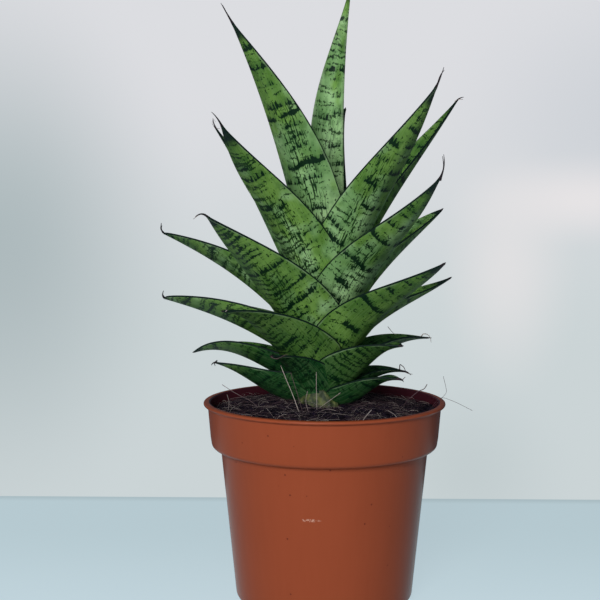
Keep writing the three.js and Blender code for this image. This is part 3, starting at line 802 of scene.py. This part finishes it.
def make_leaf(leaf, material):
    s = blade_sections(leaf)
    across, out = section_loop(s)
    rows, count = across.shape
    sideways, inwards, slope = bent(s["fold"], s["half"], across)
    inwards = (inwards + out * np.cos(slope))[..., None] * s["inward"][:, None, :]
    sideways = (sideways - out * np.sin(slope))[..., None] * s["side"][:, None, :]
    points = s["keel"][:, None, :] + inwards + sideways
    along, half, share = (s[key][:, None] for key in ("along", "half", "u"))
    green_end = s["along"][rows - AWN_ROWS - 1]
    # A tone below zero stands for painted shade.
    root_tone_and_shade, tip_tone_and_shade = leaf["tone"]
    ripples = RIPPLES.get(leaf["number"] + 1, DIM_RIPPLES)
    if leaf["rank"] == "front_left":
        ripples = ripples * mix(1.1, 0.5, smooth(across / 8))
    flat = dict(
        along=along,
        across=across,
        edge=half - np.abs(across),
        tip=(green_end - along) * DARK_TIP / leaf["dark"],
        tone=mix(root_tone_and_shade, tip_tone_and_shade, share),
        seed=leaf["number"] * 3.7,
        ripples=ripples,
        rimmed=leaf["rimmed"],
        dry=smooth((along - green_end + leaf["dry"]) / 2),
    )
    flat = {key: np.broadcast_to(value, across.shape).ravel() for key, value in flat.items()}
    below = green_end - flat["along"]
    flat["bands"], flat["past"], flat["run"] = band_fields(leaf, below, flat["across"], green_end)
    flat["streaks"] = streak_field(leaf, below, flat["across"])
    name = f"leaf_{leaf['number'] + 1:02d}_{leaf['rank']}"
    faces = loop_faces(rows, count)
    dress(make_mesh(name + "_blade", points.reshape(-1, 3), faces, material, flat), "leaf", name)


def make_leaves():
    material = leaf_look()
    for number, (*given, own) in enumerate(LEAVES):
        leaf = PLAIN_LEAF | dict(zip(LEAF_COLUMNS, given), number=number) | own
        leaf["rank"] = RANKS[number % len(RANKS)]
        leaf["azimuth"] = FIRST_AZIMUTH + number * DIVERGENCE + leaf["turn"]
        make_leaf(leaf, material)


# ---- pot

# How many steps each turned piece has round the axis, and the soil's surface from edge to stem.
POT_SEGMENTS = 180
DRILL_SEGMENTS = 32
SOIL_SEGMENTS = 200
SOIL_RINGS = 60
STEM_SEGMENTS = 48


def corner(x, z, radius, a0, a1, steps):
    angles = np.radians(np.linspace(a0, a1, steps + 1))
    return [(x + radius * math.cos(a), z + radius * math.sin(a)) for a in angles]


def lathe(profile, segments):
    """Points and faces of a (radius, height) profile turned about Z, with its ends on the axis."""
    points = [(0, 0, profile[0][1])]
    inner = profile[1:-1]
    for r, z in inner:
        for k in range(segments):
            a = 2 * math.pi * k / segments
            points.append((r * math.cos(a), r * math.sin(a), z))
    points.append((0, 0, profile[-1][1]))
    faces = [tuple(1 + p for p in quad) for quad in ring_faces(len(inner), segments)]
    last = len(points) - 1
    for k in range(segments):
        n = (k + 1) % segments
        faces.append((0, 1 + n, 1 + k))
        faces.append((last - segments + k, last - segments + n, last))
    return points, faces


def body_radius(z):
    return mix(BODY_FOOT_RADIUS, BODY_TOP_RADIUS, z / STEP_HEIGHT)


def band_radius(z):
    return mix(BAND_FOOT_RADIUS, BAND_TOP_RADIUS, (z - STEP_HEIGHT) / BAND_HEIGHT)


def pot_profile():
    lip_foot = POT_HEIGHT - LIP_HEIGHT
    lip_round = LIP_HEIGHT / 2
    ledge = STEP_HEIGHT + POT_WALL
    wall_top = band_radius(lip_foot) - POT_WALL
    foot = body_radius(POT_FLOOR + 1) - POT_WALL
    ease = 0.6
    return [
        (0, 0),
        (DRAIN_RING_RADIUS, 0),
        *corner(body_radius(FOOT_ROUND) - FOOT_ROUND, FOOT_ROUND, FOOT_ROUND, -90, -4, 8),
        *[(body_radius(z), z) for z in np.linspace(10, STEP_HEIGHT - 1, 8)],
        (BODY_TOP_RADIUS, STEP_HEIGHT - 0.3),
        (BODY_TOP_RADIUS + 0.3, STEP_HEIGHT),
        *corner(BAND_FOOT_RADIUS - BAND_FOOT_ROUND, STEP_HEIGHT + BAND_FOOT_ROUND,
                BAND_FOOT_ROUND, -90, 0, 8),
        *[(band_radius(z), z) for z in np.linspace(STEP_HEIGHT + 5, lip_foot - 1, 4)],
        (band_radius(lip_foot), lip_foot - 0.2),
        *corner(LIP_RADIUS - lip_round, lip_foot + lip_round, lip_round, -80, 90, 8),
        *corner(wall_top + ease, POT_HEIGHT - ease, ease, 90, 180, 4),
        (BAND_FOOT_RADIUS - POT_WALL, ledge + 0.8),
        (BAND_FOOT_RADIUS - POT_WALL - 0.8, ledge),
        (BODY_TOP_RADIUS - POT_WALL, ledge),
        (foot, POT_FLOOR + 1),
        (foot - 1, POT_FLOOR),
        (0, POT_FLOOR),
    ]


def make_pot():
    pot = make_mesh("pot_shell", *lathe(pot_profile(), POT_SEGMENTS), pot_look())
    drill, sides = lathe([(0, -3), (DRAIN_HOLE_RADIUS, -3), (DRAIN_HOLE_RADIUS, 5), (0, 5)],
                         DRILL_SEGMENTS)
    points, faces = [], []
    for i in range(DRAIN_HOLES):
        angle = 2 * math.pi * (i + 0.5) / DRAIN_HOLES
        shift = DRAIN_RING_RADIUS * np.array([math.cos(angle), math.sin(angle), 0])
        join(points, faces, list(np.array(drill) + shift), sides)
    cutter = make_mesh("drain_cutter", points, faces, pot.data.materials[0])
    cut = pot.modifiers.new("drain", "BOOLEAN")
    cut.object, cut.operation, cut.solver = cutter, "DIFFERENCE", "EXACT"
    bpy.context.view_layer.update()
    shown = pot.evaluated_get(bpy.context.evaluated_depsgraph_get())
    mesh = bpy.data.meshes.new_from_object(shown)
    pot.modifiers.clear()
    pot.data = mesh
    bpy.data.objects.remove(cutter)
    dress(pot, "pot_plastic", "pot")


# ---- soil and stem


def soil_height(r):
    share = smooth((r - STEM_RADIUS) / (BAND_FOOT_RADIUS - STEM_RADIUS))
    return mix(SOIL_CROWN, SOIL_EDGE, share**1.4)


def soil_top(x, y):
    """Height of the soil's surface with its unevenness and fine lumps."""
    r = math.hypot(x, y)
    wave = math.sin(x * 0.19 + 1) * math.cos(y * 0.23) + 0.5 * math.sin(x * 0.41 - y * 0.37)
    lumps = 0.8 * rough(x * 0.25, y * 0.25, 3) + 0.7 * rough(x * 0.7, y * 0.7, 9)
    return float(soil_height(r)) + SOIL_UNEVEN * wave + lumps


def make_soil():
    ledge = STEP_HEIGHT + POT_WALL + GAP
    foot = body_radius(POT_FLOOR) - POT_WALL - GAP
    edge = band_radius(SOIL_EDGE) - POT_WALL - GAP
    hole = STEM_RADIUS + GAP
    profile = [
        (0, POT_FLOOR + GAP),
        (foot - 1.2, POT_FLOOR + GAP),
        (foot, POT_FLOOR + GAP + 2),
        (body_radius(ledge) - POT_WALL - GAP, ledge),
        (band_radius(ledge) - POT_WALL - GAP - 1, ledge),
        (band_radius(ledge) - POT_WALL - GAP, ledge + 1.2),
    ]
    walls = len(profile)
    profile += [(r, 0) for r in np.linspace(edge, hole, SOIL_RINGS)]
    profile += [(hole, STEM_FOOT + 7.5), (STEM_RADIUS * 0.6 + GAP, STEM_FOOT - GAP),
                (0, STEM_FOOT - GAP)]
    points, faces = lathe(profile, SOIL_SEGMENTS)
    points = np.array(points)
    top = slice(1 + (walls - 1) * SOIL_SEGMENTS, 1 + (walls - 1 + SOIL_RINGS) * SOIL_SEGMENTS)
    points[top, 2] = [soil_top(x, y) for x, y in points[top, :2]]
    dress(make_mesh("soil_fill", points, faces, soil_look()), "soil", "soil")


def make_stem():
    profile = [(0, STEM_FOOT), (STEM_RADIUS * 0.6, STEM_FOOT), (STEM_RADIUS, STEM_FOOT + 8)]
    for z in np.linspace(LOWEST_ROOT + 6, HIGHEST_ROOT, 16):
        profile.append((max(root_radius(z) - (ROOT_RADIUS - STEM_RADIUS), 1.6), z))
    profile.append((0, HIGHEST_ROOT + 2.5))
    dress(make_mesh("stem_shoot", *lathe(profile, STEM_SEGMENTS), stem_look()), "stem", "stem")


# ---- fibres, straws and hairs

FIBRE_SIDES = 5
FIBRE_STEPS = 9
FIBRE_COUNT = 2200
FIBRE_TAPER = 0.5

# The radius from the axis within which fibres start, and beyond which none goes.
FIBRE_SPREAD = 55
FIBRE_LIMIT = 54


def fibre(path, radius, taper):
    """Points and faces of a fine closed tube along a path of points."""
    path = np.array(path, float)
    tangent = unit(np.gradient(path, axis=0))
    points = []
    reference = np.array([0.31, 0.17, 0.93])
    for k, (at, along) in enumerate(zip(path, tangent)):
        side = unit(np.cross(along, reference))
        up = np.cross(side, along)
        width = radius * mix(1, taper, k / (len(path) - 1))
        for j in range(FIBRE_SIDES):
            a = 2 * math.pi * j / FIBRE_SIDES
            points.append(at + width * (math.cos(a) * side + math.sin(a) * up))
    faces = [(a, d, c, b) for a, b, c, d in ring_faces(len(path), FIBRE_SIDES)]
    faces.append(tuple(range(FIBRE_SIDES)))
    faces.append(tuple(reversed(range(len(points) - FIBRE_SIDES, len(points)))))
    return points, faces


def curly_path(draw, x, y, length, lift):
    """A path that wanders over the soil from a place on it."""
    heading = draw.uniform(0, 2 * math.pi)
    bend = draw.uniform(-0.18, 0.18)
    path = []
    height = soil_top(x, y) + draw.uniform(0.0, lift)
    slope = draw.uniform(-0.15, 0.35) * lift / 2
    for _ in range(FIBRE_STEPS):
        path.append((x, y, height))
        heading += bend + draw.uniform(-0.15, 0.15)
        x += length / FIBRE_STEPS * math.cos(heading)
        y += length / FIBRE_STEPS * math.sin(heading)
        height += slope
        slope -= 0.12 * lift / 2
        rim = math.hypot(x, y)
        if rim > FIBRE_LIMIT:
            x, y = x * FIBRE_LIMIT / rim, y * FIBRE_LIMIT / rim
        height = max(height, soil_top(x, y) + 0.1)
    return path


def make_tubes(name, tubes, slot):
    """One piece of many tubes, each a path, a radius, a taper and how pale it is."""
    points, faces, hues = [], [], []
    for path, radius, taper, pale in tubes:
        more, quads = fibre(path, radius, taper)
        join(points, faces, more, quads)
        hues += [pale] * len(more)
    dress(make_mesh(name, points, faces, fibre_look(), {"hue": hues}), slot)


def make_fibres():
    draw = random.Random(7)
    tubes = []
    for _ in range(FIBRE_COUNT):
        r = FIBRE_SPREAD * math.sqrt(draw.uniform(0.02, 1))
        a = draw.uniform(0, 2 * math.pi)
        length = draw.uniform(5, 20)
        path = curly_path(draw, r * math.cos(a), r * math.sin(a), length, draw.uniform(0.4, 3.0))
        radius = draw.uniform(0.035, 0.075)
        tubes.append((path, radius, FIBRE_TAPER, draw.random() ** 3.0))
    make_tubes("soil_fibres", tubes, "soil")


# Dry straws in front of the stem and at the rim: radius at the start, how pale, and points along.
STRAWS = [
    (0.18, 0.9, [(-20.9, -18, 117.4), (-18, -18, 110), (-15.1, -18, 103.3), (-12.1, -22, 96)]),
    (0.14, 0.8, [(-3.5, -20, 122.5), (-3.9, -21, 112), (-3.5, -22, 95.6)]),
    (0.13, 0.5, [(-16.1, -18, 114), (-12.7, -19, 103.3), (-10.2, -22, 95.4)]),
    (0.14, 0.8, [(15.6, -22, 111.2), (9.5, -20, 106), (5.1, -18, 102.5), (-2.1, -17, 97)]),
    (0.14, 0.7, [(-8, -24, 106), (-9, -23, 101), (-7.5, -24, 96)]),
    (0.14, 0.6, [(-51.1, 0, 105.5), (-44, -3, 101.5), (-36.8, -5, 98.5), (-32, -6, 94.6)]),
    (0.13, 0.7, [(-48.2, -5, 101.3), (-46.5, -10, 98.5), (-47, -12, 94.5)]),
    (0.22, 0.4, [(51.2, 0, 106), (49.8, 0, 103.6), (46.7, 0, 102.5), (41, -2, 98), (38, -4, 94)]),
    (0.1, 0.3, [(59.2, 0, 110), (61.2, 0, 102), (58.3, 0, 98.9), (53, -1, 93.2)]),
    (0.1, 0.3, [(52, -2, 93.2), (57.2, -5, 100.8), (64, -10, 98.9), (71.6, -15, 95.5)]),
    (0.2, 0.9, [(22, -34, 99), (19, -38, 96.5), (17, -41, 94)]),
    (0.16, 0.8, [(30, -30, 98), (33, -33, 96.6), (35, -38, 94)]),
]

# Dry ends and hairs at the leaves' tips, given in the same way.
HAIRS = [
    (0.3, 0.05, [(-40, -56.6, 271.6), (-42.5, -57, 276.3), (-44.2, -57, 279.5)]),
    (0.35, 0.1, [(47.3, -65, 242), (48.4, -65, 246), (49.2, -65, 248.2), (50.7, -65, 250)]),
    (0.3, 0.8, [(66.4, 21.8, 248.2), (68.8, 21.8, 249.3), (70.6, 22, 249.1)]),
    (0.35, 0.1, [(49.3, -67, 203.2), (50.3, -67, 207), (50.6, -67, 210), (50.1, -67, 213.6)]),
    (0.09, 0.3, [(-45.5, -58.4, 226.5), (-47.6, -58.4, 226.4), (-49, -58.2, 228.5),
                 (-48.5, -58, 230.7), (-47.2, -58, 229.2)]),
    (0.3, 0.7, [(-50, -68.8, 188), (-51.7, -68.8, 189.3), (-53.8, -68.8, 188.8), (-56, -69, 187)]),
    (0.5, 0.0, [(-83.4, 27, 180.6), (-85.6, 27, 183.2), (-85.2, 27, 186.4)]),
    (0.45, 0.0, [(-83.4, 27, 146.6), (-85, 27, 149), (-84.4, 27, 151)]),
    (0.4, 0.0, [(-53.4, 0, 117.6), (-55, 0, 116.6), (-54.5, 0, 114.8)]),
    (0.25, 0.8, [(-42.5, -61, 147.3), (-44, -61, 146.7)]),
    (0.22, 0.5, [(-24.8, -34.5, 123.8), (-23.4, -35, 123), (-21.6, -35, 122.8), (-19.2, -35, 124.2),
                (-17, -35, 125)]),
    (0.3, 0.85, [(49.7, 17.2, 128.2), (50.8, 17, 129.6), (52.8, 17, 129.4), (54.4, 17, 127.8),
                (54.8, 17, 125.2)]),
    (0.18, 0.8, [(32.6, 17, 133.2), (34.8, 17, 130.4), (37, 17, 128.7)]),
    (0.3, 0.5, [(38.3, 10.7, 112), (38.3, 10.2, 114.8), (40.5, 10, 113.2), (41.5, 10, 110.2),
                (44.8, 10, 109.6)]),
    (0.35, 0.4, [(34.2, -32, 113.3), (36.2, -32, 112.6), (37.8, -32, 114.2)]),
]


def smooth_path(points, steps=6):
    """A finer path through the points, rounded at them."""
    points = np.array(points, float)
    at = np.linspace(0, len(points) - 1, steps * (len(points) - 1) + 1)
    path = np.stack([np.interp(at, range(len(points)), column) for column in points.T], axis=1)
    for _ in range(steps // 2):
        path[1:-1] = (path[:-2] + 2 * path[1:-1] + path[2:]) / 4
    return path


def make_straws(name, straws, slot, taper):
    tubes = [(smooth_path(path), radius, taper, pale) for radius, pale, path in straws]
    make_tubes(name, tubes, slot)


# Scraps of old dry leaf round the foot of the stem: azimuth from and to, radius at the foot and at
# the top, and how high the torn edge stands at either end and in between.
SHEATHS = [
    (206, 282, 15.6, 13.8, (101.0, 103.5, 104.5, 105.0, 103.5)),
    (258, 298, 16.4, 14.4, (101.5, 105.5, 102.5, 99.5, 98.5)),
]
SHEATH_FOOT = 93.5
SHEATH_THICKNESS = 0.8
SHEATH_COLUMNS = 40
SHEATH_ROWS = 14


def make_sheaths():
    columns, rows = SHEATH_COLUMNS, SHEATH_ROWS
    material = stem_look()
    for number, (start, end, foot, top, edge) in enumerate(SHEATHS):
        points = []
        for skin in (0, SHEATH_THICKNESS):
            for i in range(columns + 1):
                share = i / columns
                angle = math.radians(mix(start, end, share))
                height = np.interp(share, np.linspace(0, 1, len(edge)), edge)
                height += 0.9 * rough(share * 9, number * 3.1)
                for j in range(rows + 1):
                    rise = j / rows
                    radius = mix(foot, top, rise) - skin + 0.5 * rough(share * 6, rise * 2, number)
                    z = mix(SHEATH_FOOT, height, rise)
                    points.append((radius * math.cos(angle), radius * math.sin(angle), z))
        grid = np.arange(len(points) // 2).reshape(columns + 1, rows + 1)
        front = np.stack([grid[:-1, :-1], grid[1:, :-1], grid[1:, 1:], grid[:-1, 1:]], axis=-1)
        front = front.reshape(-1, 4)
        border = np.concatenate([grid[:-1, 0], grid[-1, :-1], grid[:0:-1, -1], grid[0, :0:-1]])
        onward = np.roll(border, -1)
        sides = np.stack([border + grid.size, onward + grid.size, onward, border], axis=-1)
        faces = np.concatenate([front, front[:, ::-1] + grid.size, sides]).tolist()
        dress(make_mesh(f"stem_sheath_{number + 1}", points, faces, material), "stem")


# ---- stage, light and camera

TABLE_BACK = 182
TABLE_REACH = 3000
DOME_RADIUS = 6000

CAMERA_DISTANCE = 500
CAMERA_HEIGHT = 180.65
CAMERA_PITCH = 3.74
CAMERA_YAW = 1.385
FOCAL_PIXELS = 1009.36
FRAME_PIXELS = 600
SENSOR = 36.0

# Soft ovals of shade and light on the wall: middle across and up, half sizes, share and colour.
WALL_PATCHES = [
    (-2000, 100, 1300, 1900, 1.0, (174, 186, 189)),
    (2000, 900, 1500, 1000, 0.8, (202, 207, 213)),
    (1600, 390, 900, 330, 0.8, (234, 230, 231)),
    (1150, -50, 480, 900, 0.7, (230, 227, 228)),
    (900, -1300, 700, 700, 0.6, (189, 200, 202)),
]


def table_look():
    """Pale, and mostly lit from within, so that shadows on it stay soft."""
    look = Look("table_top", Roughness=0.9, Specular_IOR_Level=0.0, Emission_Strength=0.94)
    where = look.millimetres()
    away = look.parts(where)[1]
    tint = look.lay(
        look.blend(look.grain(where, 0.008, 3.0), (190, 209, 217), (194, 212, 220)),
        (look.step(away, -80.0, 120.0), (180, 199, 206)),
        # A darker strip just before the back edge is a painted shadow line.
        (look.step(away, TABLE_BACK - 14, TABLE_BACK), (168, 186, 192)),
    )
    look.paint(look.blend(0.2, (0, 0, 0), tint))
    look.paint(tint, "Emission Color")
    return look.material


def wall_look():
    look = Look("wall_glow", Roughness=1.0, Base_Color=(0, 0, 0, 1), Specular_IOR_Level=0.0,
                Emission_Strength=1.0)
    x, _, z = look.parts(look.millimetres())
    glow = look.blend(look.step(z, -600, 1150), (203, 212, 214), (220, 221, 225))
    for across, up, wide, tall, share, tint in WALL_PATCHES:
        oval = look.step(look.length((x - across) / wide, (z - up) / tall), 1.0, 0.0)
        glow = look.blend(oval * share, glow, tint)
    look.paint(glow, "Emission Color")
    return look.material


def make_stage():
    far = TABLE_REACH
    corners = [(-far, -far, 0), (far, -far, 0), (far, TABLE_BACK, 0), (-far, TABLE_BACK, 0)]
    top = make_mesh("table", corners, [(0, 1, 2, 3)], table_look())
    top.visible_diffuse = False
    bpy.ops.mesh.primitive_uv_sphere_add(segments=96, ring_count=48, radius=DOME_RADIUS * MM)
    dome = bpy.context.object
    dome.name = "backdrop"
    dome.data.materials.append(wall_look())
    for rays in ("diffuse", "glossy", "shadow", "transmission"):
        setattr(dome, "visible_" + rays, False)


def aim(thing, target):
    direction = Vector(target) * MM - thing.location
    thing.rotation_mode = "QUATERNION"
    thing.rotation_quaternion = direction.to_track_quat("-Z", "Y")


def make_light(name, place, size, power, colour):
    data = bpy.data.lights.new(name, "AREA")
    data.shape = "RECTANGLE"
    data.size, data.size_y = (s * MM for s in size)
    data.energy = power
    data.color = colour
    light = make_object(name, data)
    light.location = Vector(place) * MM
    aim(light, (0, 0, 130))
    return light


def make_lights():
    make_light("key", (-340, -1250, 560), (500, 600), 14.8, (1.0, 0.98, 0.94))
    make_light("front", (150, -1300, 300), (500, 500), 2.2, (1.0, 0.99, 0.98))
    back = make_light("back", (-450, 1200, 170), (900, 300), 9.0, (0.95, 0.98, 1.0))
    back.visible_glossy = False
    world = bpy.data.worlds.new("room")
    world.use_nodes = True
    background = world.node_tree.nodes["Background"]
    background.inputs["Color"].default_value = (0.7, 0.84, 1.0, 1)
    background.inputs["Strength"].default_value = 0.11
    bpy.context.scene.world = world


def make_camera():
    data = bpy.data.cameras.new("camera")
    data.sensor_width = SENSOR
    data.lens = FOCAL_PIXELS / FRAME_PIXELS * SENSOR
    camera = make_object("camera", data)
    camera.location = Vector((0, -CAMERA_DISTANCE, CAMERA_HEIGHT)) * MM
    camera.rotation_euler = [math.radians(a) for a in (90 - CAMERA_PITCH, 0, CAMERA_YAW)]
    bpy.context.scene.camera = camera


make_camera()
make_stage()
make_lights()
make_pot()
make_soil()
make_stem()
make_leaves()
make_fibres()
make_straws("dry_straws", STRAWS, "soil", 0.85)
make_straws("dry_hairs", HAIRS, "leaf", 0.35)
make_sheaths()

bpy.context.scene.view_settings.view_transform = "Standard"
